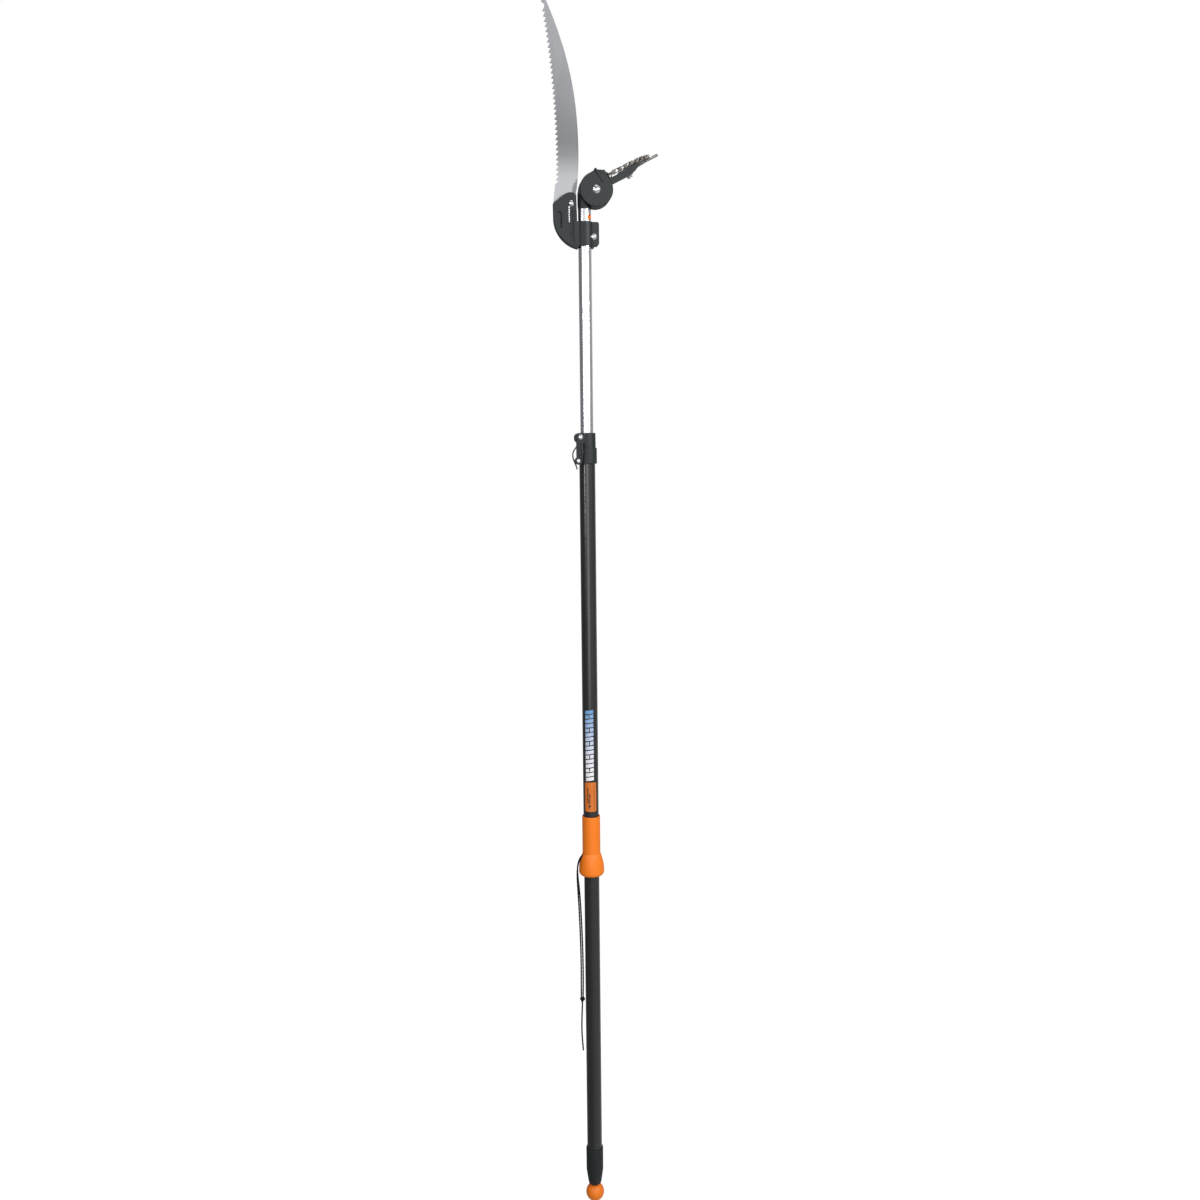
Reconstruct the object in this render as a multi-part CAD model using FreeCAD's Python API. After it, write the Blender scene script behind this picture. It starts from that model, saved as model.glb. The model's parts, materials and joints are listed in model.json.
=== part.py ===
import FreeCAD, Part
import math
import os

V = FreeCAD.Vector

# Telescoping pole saw with a rope-driven pruning head. Millimetres.
# The origin is on the pole axis at the hand hold. +Z runs up the pole, the saw blade is on -X,
# the pruning head reaches out to +X, and -Y is the front.

# Driving dimensions: poles
OUTER_R = 31.75 / 2
OUTER_WALL = 1.8
OUTER_TOP = 300.0
OUTER_BOTTOM = -1290.0
INNER_R = 25.4 / 2
INNER_WALL = 1.6
INNER_TOP = 739.7
INNER_BOTTOM = -1079.0
SLIDE_FIT = 0.075
TURN_FIT = 0.05
SLOT_HALF = 4.2

# Driving dimensions: grip, boot and ball
STROKE = 110.0
GRIP_TOP = -477.0
GRIP_BOTTOM = -605.0
SLEEVE_R = 18.75
BELL_R = 26.4
LINK_Z = -530.0
LINK_PIN_R = 3.0
BOOT_TOP = -1222.0
BOOT_BOTTOM = -1306.5
BOOT_R = 18.25
BALL_R = 19.45
BALL_Z = -1327.0
ROPE_R = 2.0
ROPE_X = -4.8
ROPE_Y = 4.0

# Driving dimensions: fasteners, as nominal radii and widths across flats
M5_R = 2.5
M5_NUT = 8.0
NUT_HEIGHT = 4.0
SMALL_SCREW_R = 1.5
SLIT_HALF = 0.8

# Driving dimensions: telescoping clamp
CLAMP_BOTTOM = 250.6
CLAMP_STEP = 282.0
CLAMP_TOP = 311.5
CLAMP_LOW_R = 19.5
CLAMP_HIGH_R = 17.0
LEVER_X = -16.0
LEVER_Z = 303.0
LEVER_END_X = -20.5
LEVER_END_Z = 256.4
LEVER_FRONT = -22.6
LEVER_BACK = -16.9
EYE_R = 8.5
EAR_BACK = 13.0
COLLAR_SCREW_Z = 262.0
COLLAR_SCREW_R = 1.8
END_SCREW_R = 2.0

# Driving dimensions: lock button in the inner pole
BUTTON_X = 8.8
BUTTON_Z = 725.0
BUTTON_R = 5.4
BUTTON_HOLE_R = 5.48
BUTTON_FLANGE_R = 6.2
BUTTON_PROUD = 2.4

# Driving dimensions: saw
BLADE_HALF = 0.7
TOOTH_COUNT = 34
TOOTH_DEPTH = 5.6
TOOTH_RAKE = 0.82
BRACKET_BOTTOM = 670.0
BRACKET_TOP = 716.0
BRACKET_R = 16.2
EAR_DEPTH = 8.6
HOLDER_FRONT = -10.0
HOLDER_BACK = 8.0
PLATE_GAP = 0.8
BLADE_SCREW_X = -26.5
BLADE_SCREW_Z = 749.4
EAR_SCREW_X = 16.6
EAR_SCREW_Z = 689.0

# Driving dimensions: pruning head, in its own frame of u along the arm, y, and n square to both
SWIVEL_X = 21.2
SWIVEL_Z = 775.0
ARM_ANGLE = 27.0
DISC_R = 32.5
DISC_FRONT = -20.0
DISC_SPLIT = -3.0
DISC_BACK = 10.0
ARM_LOW = -4.0
ARM_TOP = 9.3
DECK_LOW = 6.0
SHELL_WALL = 2.5
BOLT_R = 3.0
PIVOT_U = 86.0
PIVOT_Y = 39.5
BOSS_LOW = 3.4
HOOK_TOP = 13.3
JAW_TOP = 16.5
CHAIN_N = 15.0
CHAIN_ANCHOR = 4
CHAIN_PITCH = 12.7
CHAIN_R = 48.5
CHAIN_Y = PIVOT_Y - CHAIN_R
DRUM_R = 26.0
ROPE_MOUTH_FROM = 128.0
ROPE_MOUTH_TO = 300.0
WINCH_R = 6.0
CABLE_R = 1.2
PIN_R = 1.75
BLADE_OPEN = 10.0
BLADE_REACH = 76.0
SHELL_SCREW_U = (56.0, 76.0)
SHELL_SCREW_N = 2.6
HOOK_SCREW = (PIVOT_U - 17.5, PIVOT_Y - 20.5)

# Driving dimensions: cords
CORD_R = 1.65
LEVER_CORD_R = 1.3
KNOT_R = 6.0
LABEL_TURN = 10.8
KNOT = (-23.2, -1.6, -880.5)


# ---------------------------------------------------------------- helpers

def rod(radius, low, high, x=0.0, y=0.0):
    """Cylinder along Z between two heights."""
    return Part.makeCylinder(radius, high - low, V(x, y, low), V(0, 0, 1))


def ring(outer, inner, low, high, x=0.0, y=0.0):
    """Tube along Z between two heights."""
    return rod(outer, low, high, x, y).cut(rod(inner, low - 1, high + 1, x, y))


def yrod(radius, front, back, x, z):
    """Cylinder along Y between two depths."""
    return Part.makeCylinder(radius, back - front, V(x, front, z), V(0, 1, 0))


def block(x0, x1, y0, y1, z0, z1):
    return Part.makeBox(x1 - x0, y1 - y0, z1 - z0, V(x0, y0, z0))


def join(first, *others):
    """Union of solids with the seams between them removed."""
    return first.fuse(list(others)).removeSplitter()


def in_xz(a, b):
    return V(a, 0, b)


def in_xy(a, b):
    return V(a, b, 0)


def in_yz(a, b):
    return V(0, a, b)


def rounded_wire(corners, plane):
    """Closed wire through corners (a, b, radius); a radius of 0 is a sharp corner."""
    entries = []
    count = len(corners)
    for index, (a, b, radius) in enumerate(corners):
        here = plane(a, b)
        before = plane(*corners[index - 1][:2])
        after = plane(*corners[(index + 1) % count][:2])
        to_before = (before - here).normalize()
        to_after = (after - here).normalize()
        if radius == 0:
            entries.append((here, here, here))
            continue
        half = to_before.getAngle(to_after) / 2
        reach = radius / math.tan(half)
        bisector = (to_before + to_after).normalize()
        middle = here + bisector * (radius / math.sin(half) - radius)
        entries.append((here + to_before * reach, middle, here + to_after * reach))
    edges = []
    for index, (start, middle, end) in enumerate(entries):
        if (start - end).Length > 1e-6:
            edges.append(Part.Arc(start, middle, end).toShape())
        following = entries[(index + 1) % count][0]
        if (following - end).Length > 1e-6:
            edges.append(Part.LineSegment(end, following).toShape())
    return Part.Wire(edges)


def slab(corners, plane, low, high):
    """Rounded outline extruded along its plane's third axis."""
    face = Part.Face(rounded_wire(corners, plane))
    along = V(0, 1, 0) if plane is in_xz else V(0, 0, 1) if plane is in_xy else V(1, 0, 0)
    face.translate(along * low)
    return face.extrude(along * (high - low))


def turned(profile):
    """Solid of revolution about Z of a closed (radius, height, corner radius) outline."""
    face = Part.Face(rounded_wire(profile, in_xz))
    return face.revolve(V(0, 0, 0), V(0, 0, 1), 360)


def hex_prism(across_flats, base, direction, height):
    """Hexagon nut body standing on base."""
    corner = across_flats / math.sqrt(3)
    points = [V(corner * math.cos(math.radians(60 * k)), corner * math.sin(math.radians(60 * k)), 0)
              for k in range(7)]
    prism = Part.Face(Part.makePolygon(points)).extrude(V(0, 0, height))
    prism.Placement = FreeCAD.Placement(base, FreeCAD.Rotation(V(0, 0, 1), direction))
    return prism


def domed_head(radius, height, x, seat, z):
    """Domed screw head on -Y of its seat, as a slice of a sphere."""
    sphere_r = (radius * radius + height * height) / (2 * height)
    ball = Part.makeSphere(sphere_r, V(x, seat - height + sphere_r, z))
    return ball.common(yrod(radius, seat - height - 1, seat, x, z))


def driver_recess(x, front, z, size, depth):
    """Cross-shaped driver recess cut into a screw head from the front."""
    wide = block(x - size, x + size, front - 1, front + depth, z - size / 5, z + size / 5)
    tall = block(x - size / 5, x + size / 5, front - 1, front + depth, z - size, z + size)
    return wide.fuse(tall)


def torus_arc(radius, wire_r, centre, axis, start, sweep):
    """Part of a ring: wire_r round, bent to radius about centre."""
    arc = Part.makeTorus(radius, wire_r, V(0, 0, 0), V(0, 0, 1), 0, 360, sweep)
    arc.rotate(V(0, 0, 0), V(0, 0, 1), start)
    arc.Placement = FreeCAD.Placement(centre, FreeCAD.Rotation(V(0, 0, 1), axis)).multiply(arc.Placement)
    return arc


def head_place(shape):
    """Head frame to row frame: u tilts ARM_ANGLE above +X, origin at the swivel axis."""
    placed = shape.copy()
    placed.rotate(V(0, 0, 0), V(0, 1, 0), -ARM_ANGLE)
    placed.translate(V(SWIVEL_X, 0, SWIVEL_Z))
    return placed


def cord_tube(name, points, radius):
    """Round tube along straight runs joined by tangent arcs; prints the arcs' radii and its volume."""
    vectors = [V(*point) for point in points]
    edges = []
    cursor = vectors[0]
    radii = []
    length = 0.0
    for index in range(1, len(vectors) - 1):
        to_before = vectors[index - 1] - vectors[index]
        to_after = vectors[index + 1] - vectors[index]
        shorter = min(to_before.Length, to_after.Length)
        to_before.normalize()
        to_after.normalize()
        half_turn = (math.pi - to_before.getAngle(to_after)) / 2
        reach = 0.45 * shorter
        bend = reach / math.tan(half_turn)
        radii.append(round(bend, 1))
        start = vectors[index] + to_before * reach
        end = vectors[index] + to_after * reach
        inward = (to_before + to_after).normalize()
        middle = vectors[index] + inward * (bend / math.cos(half_turn) - bend)
        edges.append(Part.LineSegment(cursor, start).toShape())
        edges.append(Part.Arc(start, middle, end).toShape())
        length += (start - cursor).Length + 2 * half_turn * bend
        cursor = end
    edges.append(Part.LineSegment(cursor, vectors[-1]).toShape())
    length += (vectors[-1] - cursor).Length
    path = Part.Wire(edges)
    first = (vectors[1] - vectors[0]).normalize()
    section = Part.Wire([Part.Circle(vectors[0], first, radius).toShape()])
    tube = path.makePipeShell([section], True, False)
    print(name, "length", round(length, 1), "radii", radii,
          "volume ratio", round(tube.Volume / (math.pi * radius ** 2 * length), 4))
    return tube


# ---------------------------------------------------------------- outer pole

def outer_pole_tube():
    tube = ring(OUTER_R, OUTER_R - OUTER_WALL, OUTER_BOTTOM, OUTER_TOP)
    slot_low = LINK_Z - STROKE - 8
    slot_high = LINK_Z + 8
    return tube.cut(block(-SLOT_HALF, SLOT_HALF, 5, 20, slot_low, slot_high))


def pole_guide_bush():
    """Slit bush in the outer pole's mouth that the inner pole runs in."""
    bush = ring(OUTER_R - OUTER_WALL, INNER_R + SLIDE_FIT, OUTER_TOP - 42, OUTER_TOP)
    return bush.cut(block(-20, 0, -SLIT_HALF, SLIT_HALF, OUTER_TOP - 43, OUTER_TOP + 1))


def collapse_stop():
    return ring(OUTER_R - OUTER_WALL, 8.0, INNER_BOTTOM - 16, INNER_BOTTOM - 0.4)


def pole_end_boot():
    """Moulded boot over the pole's lower end, with the rope outlet in its floor."""
    cup = turned([(0, BOOT_BOTTOM, 0), (13.0, BOOT_BOTTOM, 4), (BOOT_R - 3.6, BOOT_BOTTOM + 8, 4),
                  (BOOT_R, BOOT_TOP - 51, 8), (BOOT_R, BOOT_TOP, 1.2), (0, BOOT_TOP, 0)])
    cup = cup.cut(rod(OUTER_R + 0.02, OUTER_BOTTOM, BOOT_TOP + 1))
    return cup.cut(rod(4.5, BOOT_BOTTOM - 1, OUTER_BOTTOM + 1))


def boot_rope_bush():
    outlet = ring(4.5, ROPE_R + 0.5, BOOT_BOTTOM + 0.3, OUTER_BOTTOM)
    return join(outlet, ring(9.0, ROPE_R + 0.5, OUTER_BOTTOM, OUTER_BOTTOM + 2.5))


def clamp_collar():
    """Split collar: a low sleeve fixed on the outer pole and a high sleeve that pinches the inner pole."""
    body = turned([(0, CLAMP_BOTTOM, 0), (CLAMP_LOW_R, CLAMP_BOTTOM, 1.2),
                   (CLAMP_LOW_R, CLAMP_STEP, 0.8), (CLAMP_HIGH_R + 0.4, CLAMP_STEP, 0),
                   (CLAMP_HIGH_R, CLAMP_TOP, 1.5), (0, CLAMP_TOP, 0)])
    ear_outline = [(LEVER_X - EYE_R, LEVER_Z - EYE_R, 8), (LEVER_X - EYE_R, CLAMP_TOP, 8), (-4, CLAMP_TOP, 0),
                   (-4, LEVER_Z - 12, 0), (LEVER_X + 2, LEVER_Z - 12, 3)]
    body = join(body, slab(ear_outline, in_xz, LEVER_BACK + 0.4, EAR_BACK))
    body = body.cut(rod(OUTER_R + 0.02, CLAMP_BOTTOM - 1, OUTER_TOP + 0.4))
    body = body.cut(rod(INNER_R + SLIDE_FIT, OUTER_TOP, CLAMP_TOP + 1))
    body = body.cut(block(-30, 0, -SLIT_HALF, SLIT_HALF, LEVER_Z - 16, CLAMP_TOP + 1))
    body = body.cut(yrod(M5_R, -30, 30, LEVER_X, LEVER_Z))
    return body.cut(yrod(COLLAR_SCREW_R, 5, 30, 0, COLLAR_SCREW_Z))


def lever_bolt():
    """Pinch bolt through the collar's ears; the lever turns on it."""
    head = domed_head(5.4, 3.0, LEVER_X, LEVER_FRONT - 0.1, LEVER_Z)
    head = head.cut(driver_recess(LEVER_X, LEVER_FRONT - 3.1, LEVER_Z, 2.2, 1.6))
    return join(head, yrod(M5_R, LEVER_FRONT - 0.1, EAR_BACK + 4.5, LEVER_X, LEVER_Z))


def lever_bolt_nut():
    return plain_nut(LEVER_X, LEVER_Z, EAR_BACK)


def collar_screw():
    """Screw from behind that fixes the collar on the outer pole."""
    head = domed_head(3.6, 2.0, 0, 0, 0)
    head.rotate(V(0, 0, 0), V(0, 0, 1), 180)
    head.translate(V(0, CLAMP_LOW_R, COLLAR_SCREW_Z))
    return join(head, yrod(COLLAR_SCREW_R, OUTER_R + 0.05, CLAMP_LOW_R, 0, COLLAR_SCREW_Z))


# ---------------------------------------------------------------- clamp lever

def clamp_lever():
    """Quick lever: an eye on the pinch bolt, a ribbed bar and a round end."""
    depth = (LEVER_FRONT, LEVER_BACK)
    eye = yrod(EYE_R, *depth, LEVER_X, LEVER_Z)
    end = yrod(7.5, *depth, LEVER_END_X, LEVER_END_Z)
    bar = slab([(-24.4, 296, 0), (-24.2, 258, 0), (-13.5, 258, 0), (-10.5, 274, 0), (-12.0, 300, 0)],
               in_xz, *depth)
    body = join(eye, end, bar)
    groove = slab([(-16.6, 292, 0.6), (-15.4, 292, 0.6), (-13.6, 266, 0.6), (-15.2, 264, 0.6)],
                  in_xz, LEVER_FRONT - 1, LEVER_FRONT + 1.4)
    rib_arc = Part.Arc(V(-19.6, 0, 293.5), V(-18.4, 0, 276), V(-15.9, 0, 262)).toShape()
    back_arc = Part.Arc(V(-17.4, 0, 262), V(-20.0, 0, 276), V(-21.0, 0, 293.5)).toShape()
    rib_face = Part.Face(Part.Wire([rib_arc, Part.makeLine(V(-15.9, 0, 262), V(-17.4, 0, 262)),
                                    back_arc, Part.makeLine(V(-21.0, 0, 293.5), V(-19.6, 0, 293.5))]))
    rib_face.translate(V(0, LEVER_FRONT - 1.3, 0))
    body = join(body, rib_face.extrude(V(0, 2.3, 0)))
    body = body.cut(groove)
    body = body.cut(yrod(M5_R + TURN_FIT, -30, 0, LEVER_X, LEVER_Z))
    return body.cut(yrod(END_SCREW_R, -30, LEVER_BACK - 1.5, LEVER_END_X, LEVER_END_Z))


def lever_end_screw():
    head = domed_head(4.0, 1.8, LEVER_END_X, LEVER_FRONT, LEVER_END_Z)
    slot = block(LEVER_END_X - 0.5, LEVER_END_X + 0.5, LEVER_FRONT - 3, LEVER_FRONT - 0.8,
                 LEVER_END_Z - 3, LEVER_END_Z + 3)
    head = head.cut(slot)
    return join(head, yrod(END_SCREW_R, LEVER_FRONT, LEVER_BACK - 1.5, LEVER_END_X, LEVER_END_Z))


LEVER_CORD = [(-23.2, -19.0, 284.6), (-29.0, -18.8, 278.4), (-31.9, -17.4, 268.0), (-29.6, -15.4, 258.2),
              (-25.2, -14.6, 249.2), (-22.3, -15.6, 239.6)]


# ---------------------------------------------------------------- inner pole

def inner_pole_tube():
    """Inner pole with an open-ended slot for the grip's link pin and a hole for the lock button."""
    tube = ring(INNER_R, INNER_R - INNER_WALL, INNER_BOTTOM, INNER_TOP)
    tube = tube.cut(block(-SLOT_HALF, SLOT_HALF, 4, 20, INNER_BOTTOM - 1, LINK_Z + 30))
    return tube.cut(button_bore(BUTTON_HOLE_R))


def inner_pole_foot():
    foot = ring(OUTER_R - OUTER_WALL - SLIDE_FIT, INNER_R, INNER_BOTTOM, INNER_BOTTOM + 30)
    return foot.cut(block(-SLOT_HALF, SLOT_HALF, 4, 20, INNER_BOTTOM - 1, INNER_BOTTOM + 31))


BUTTON_OUT = V(BUTTON_X, -math.sqrt(INNER_R ** 2 - BUTTON_X ** 2), 0) * (1 / INNER_R)


def button_bore(radius, near=0.0, far=20.0):
    """Cylinder along the lock button's line, between two distances from the pole axis."""
    return Part.makeCylinder(radius, far - near, BUTTON_OUT * near + V(0, 0, BUTTON_Z), BUTTON_OUT)


def lock_button():
    """Domed button with a flange that holds it inside the tube."""
    dome_r = 9.0
    dome = Part.makeSphere(dome_r, BUTTON_OUT * (INNER_R + BUTTON_PROUD - dome_r) + V(0, 0, BUTTON_Z))
    stem = button_bore(BUTTON_R, INNER_R - 5.0, INNER_R + BUTTON_PROUD).common(dome)
    return join(stem, button_bore(BUTTON_FLANGE_R, INNER_R - 5.5, INNER_R - 4.0))


def button_spring():
    coils = [torus_arc(3.2, 0.45, BUTTON_OUT * (0.6 + 0.75 * k) + V(0, 0, BUTTON_Z), BUTTON_OUT, 0, 360)
             for k in range(5)]
    return Part.Compound(coils)


def neck_socket():
    """Head mount: a plug in the inner pole's top, a short neck and the swivel plate behind the head."""
    plug = rod(INNER_R - INNER_WALL, INNER_TOP - 50, INNER_TOP)
    neck = rod(INNER_R, INNER_TOP, SWIVEL_Z - 8)
    gusset = slab([(0, INNER_TOP, 0), (11.5, INNER_TOP, 0), (19.5, INNER_TOP + 12, 2),
                   (19.5, SWIVEL_Z, 0), (0, SWIVEL_Z, 0)], in_yz, -11, 12)
    plate = yrod(28.5, DISC_BACK + 0.35, 19.5, SWIVEL_X, SWIVEL_Z)
    body = join(plug, neck, gusset, plate)
    body = body.cut(yrod(DISC_R + 0.6, -40, DISC_BACK + 0.35, SWIVEL_X, SWIVEL_Z))
    body = body.cut(yrod(BOLT_R + TURN_FIT, 0, 30, SWIVEL_X, SWIVEL_Z))
    body = body.cut(rod(ROPE_R + 1, INNER_TOP - 60, SWIVEL_Z + 2, ROPE_X, ROPE_Y))
    body = body.cut(button_bore(BUTTON_FLANGE_R + 0.2, 0.0, INNER_R - INNER_WALL))
    return body.cut(rod(1.2, INNER_TOP - 60, INNER_TOP - 44, 6, -4))


def drive_rope():
    return rod(ROPE_R, LINK_Z + 15.3, SWIVEL_Z - 16, ROPE_X, ROPE_Y)


# ---------------------------------------------------------------- saw

HOLDER_EDGE = [V(-61.1, 0, 750.5), V(-49.1, 0, 758.8), V(-38.4, 0, 766.9), V(-26.7, 0, 769.8),
               V(-17.1, 0, 764.4)]


def holder_plate(front, back):
    """Side plate of the saw holder: an S-shaped top edge over a long curved left side."""
    top = Part.BSplineCurve()
    top.interpolate(HOLDER_EDGE)
    right = Part.makeLine(HOLDER_EDGE[-1], V(-16.0, 0, BRACKET_TOP))
    down = Part.makeLine(V(-16.0, 0, BRACKET_TOP), V(-14.0, 0, BRACKET_BOTTOM - 4))
    left = Part.Arc(V(-14.0, 0, BRACKET_BOTTOM - 4), V(-44.5, 0, 683.0), V(-60.8, 0, 725.0)).toShape()
    up = Part.makeLine(V(-60.8, 0, 725.0), HOLDER_EDGE[0])
    face = Part.Face(Part.Wire([top.toShape(), right, down, left, up]))
    face.translate(V(0, front, 0))
    return face.extrude(V(0, back - front, 0))


def bracket_half(side):
    """Half of the clamp round the inner pole, with its ear; side is -1 in front and 1 behind."""
    shell = ring(BRACKET_R, INNER_R, BRACKET_BOTTOM, BRACKET_TOP)
    ear = slab([(12, BRACKET_BOTTOM + 2, 0), (27, BRACKET_BOTTOM + 2, 4), (27, BRACKET_TOP, 4),
                (12, BRACKET_TOP, 0)], in_xz, 0.4, EAR_DEPTH)
    nub = slab([(12, BRACKET_BOTTOM - 2.5, 0), (17, BRACKET_BOTTOM - 2.5, 1.5), (21, BRACKET_BOTTOM + 3, 0),
                (12, BRACKET_BOTTOM + 3, 0)], in_xz, 0.4, 7.0)
    web = block(-22, -12, PLATE_GAP, 11.4, BRACKET_BOTTOM, BRACKET_TOP)
    half = join(shell.common(block(-20, 20, 0.4, 20, 600, 800)), ear, nub, web)
    if side < 0:
        half = half.mirror(V(0, 0, 0), V(0, 1, 0))
    half = half.cut(rod(INNER_R, 600, 800))
    recess_front = -20 if side < 0 else EAR_DEPTH
    recess_back = -EAR_DEPTH if side < 0 else 20
    return half.cut(yrod(7.0, recess_front, recess_back, EAR_SCREW_X, EAR_SCREW_Z))


def saw_holder():
    """Front half: holder plate with its hooked groove and fine ribs, and the front of the clamp."""
    plate = holder_plate(HOLDER_FRONT, -PLATE_GAP)
    hook = slab([(-54.5, 733.5, 2), (-45.5, 733.5, 4), (-45.5, 703, 1), (-48.2, 703, 1),
                 (-48.2, 730.5, 2), (-54.5, 730.5, 1)], in_xz, HOLDER_FRONT - 1, HOLDER_FRONT + 3.0)
    plate = plate.cut(hook)
    for step in range(4):
        groove_x = -29.0 + 3.4 * step
        plate = plate.cut(block(groove_x, groove_x + 1.3, HOLDER_FRONT - 1, HOLDER_FRONT + 0.9,
                                684 - 4 * step, 736))
    body = join(plate, bracket_half(-1))
    body = body.cut(yrod(M5_R, -30, 0, BLADE_SCREW_X, BLADE_SCREW_Z))
    return body.cut(yrod(M5_R, -30, 0, EAR_SCREW_X, EAR_SCREW_Z))


def saw_holder_back():
    """Rear half: a plain plate and the rear of the clamp."""
    body = join(holder_plate(PLATE_GAP, HOLDER_BACK), bracket_half(1))
    body = body.cut(yrod(M5_R, 0, 30, BLADE_SCREW_X, BLADE_SCREW_Z))
    return body.cut(yrod(M5_R, 0, 30, EAR_SCREW_X, EAR_SCREW_Z))


def pan_screw(x, z, head_r, seat, tip):
    """Cross-recessed screw from the front, with its head on seat."""
    head_height = 3.4
    head = domed_head(head_r, head_height, x, seat, z)
    head = head.cut(driver_recess(x, seat - head_height, z, head_r * 0.42, head_height / 2))
    return join(head, yrod(M5_R, seat, tip, x, z))


def plain_nut(x, z, seat):
    """Nut behind its seat."""
    nut = hex_prism(M5_NUT, V(x, seat, z), V(0, 1, 0), NUT_HEIGHT)
    return nut.cut(yrod(M5_R, seat - 1, seat + NUT_HEIGHT + 1, x, z))


def holder_nuts():
    """Nuts of the blade screw and of the ear screw."""
    blade_nut = plain_nut(BLADE_SCREW_X, BLADE_SCREW_Z, HOLDER_BACK)
    return Part.Compound([blade_nut, plain_nut(EAR_SCREW_X, EAR_SCREW_Z, EAR_DEPTH)])


def tooth_points():
    """Raked teeth down the blade's left edge: each cuts on the pull stroke."""
    edge = Part.Arc(V(-78.0, 0, 1107.0), V(-60.2, 0, 962.0), V(-55.0, 0, 792.0)).toShape()
    points = []
    span = edge.LastParameter - edge.FirstParameter
    for tooth in range(TOOTH_COUNT):
        for share, depth in ((0.0, TOOTH_DEPTH), (TOOTH_RAKE, 0.0)):
            at = edge.FirstParameter + span * (tooth + share) / TOOTH_COUNT
            along = edge.tangentAt(at)
            inward = V(abs(along.z), 0, along.x if along.z < 0 else -along.x).normalize()
            points.append(edge.valueAt(at) + inward * depth)
    points.append(edge.valueAt(edge.LastParameter) + V(TOOTH_DEPTH, 0, 0))
    return points


def saw_blade():
    """Curved pull-cut pruning blade with a blunt nose and a tang inside the holder."""
    back = Part.BSplineCurve()
    back.interpolate([V(-17.5, 0, 764.0), V(-12.4, 0, 800.0), V(-10.8, 0, 866.0), V(-21.0, 0, 970.5),
                      V(-48.9, 0, 1070.0), V(-68.5, 0, 1117.5)])
    teeth = tooth_points()
    outline = [V(-68.5, 0, 1117.5), V(-74.0, 0, 1122.0)] + teeth
    outline += [V(-56.6, 0, 786.0), V(-60.6, 0, 751.0), V(-50.0, 0, 712.0), V(-24.0, 0, 704.0),
                V(-17.5, 0, 764.0)]
    face = Part.Face(Part.Wire([back.toShape()] + Part.makePolygon(outline).Edges))
    face.translate(V(0, -BLADE_HALF, 0))
    blade = face.extrude(V(0, 2 * BLADE_HALF, 0))
    nose = yrod(4.6, -BLADE_HALF, BLADE_HALF, -73.6, 1118.6)
    blade = join(blade, nose)
    return blade.cut(yrod(M5_R + 0.1, -5, 5, BLADE_SCREW_X, BLADE_SCREW_Z))


# ---------------------------------------------------------------- pruning head shells

DECK_OUTLINE = [(26, -2.9, 0), (101, -2.9, 3), (101, PIVOT_Y + 2, 9), (93, PIVOT_Y + 12, 9),
                (76, PIVOT_Y + 12, 9), (56, PIVOT_Y - 12, 12), (42, 10, 5), (26, 10, 0)]
ARM_OUTLINE = [(30, ARM_LOW, 0), (73, ARM_LOW, 4), (100, 6.0, 1.5), (101, ARM_TOP, 0.8), (30, ARM_TOP, 0)]


def head_shell_front():
    """Front half of the head: the round cover, the arm's root and the arm's front wall."""
    channel_low = ARM_TOP - 2.7
    disc = yrod(DISC_R, DISC_FRONT, DISC_SPLIT, 0, 0)
    front_edge = min(disc.Edges, key=lambda edge: edge.BoundBox.YMax)
    disc = disc.makeChamfer(1.2, [front_edge])
    root = slab([(-8, -4, 0), (38, -4, 0), (38, ARM_TOP, 0), (38, 21, 2), (14.4, 33.4, 2), (-8, 31.4, 0)],
                in_xz, DISC_FRONT + 1.5, DISC_SPLIT)
    arm = slab(ARM_OUTLINE, in_xz, DISC_FRONT + 3, DISC_SPLIT)
    body = join(disc, root, arm)
    body = body.cut(yrod(DISC_R - SHELL_WALL, DISC_FRONT + 2.4, 0, 0, 0))
    hollow = [(10, -1.5, 0), (72, -1.5, 3), (91, 5.4, 0), (91, channel_low - 0.6, 0),
              (50, channel_low - 0.6, 0), (50, 4.6, 0), (10, 4.6, 0)]
    body = body.cut(slab(hollow, in_xz, -14.5, 0))
    body = body.cut(block(8, 53, -18.0, DISC_SPLIT, channel_low, 24.0))
    body = body.cut(block(31, 53, -19.0, DISC_SPLIT, channel_low, 40))
    for u in SHELL_SCREW_U:
        body = join(body, yrod(3.6, -15, DISC_SPLIT, u, SHELL_SCREW_N))
        body = body.cut(yrod(SMALL_SCREW_R, -13.5, 0, u, SHELL_SCREW_N))
    bar = slab([(13.2, 35.2, 0.8), (15.6, 35.2, 0.8), (18.8, 6.0, 0.8), (16.4, 6.0, 0.8)],
               in_xz, DISC_FRONT - 2.0, DISC_FRONT + 1.8)
    stop = slab([(12.6, 31.5, 0), (13.2, 35.6, 1), (16.0, 35.2, 1), (17.4, 31.5, 0)],
                in_xz, DISC_FRONT - 2.0, DISC_FRONT + 8)
    body = join(body, bar, stop)
    return body.cut(yrod(BOLT_R, -30, 0, 0, 0))


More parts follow.
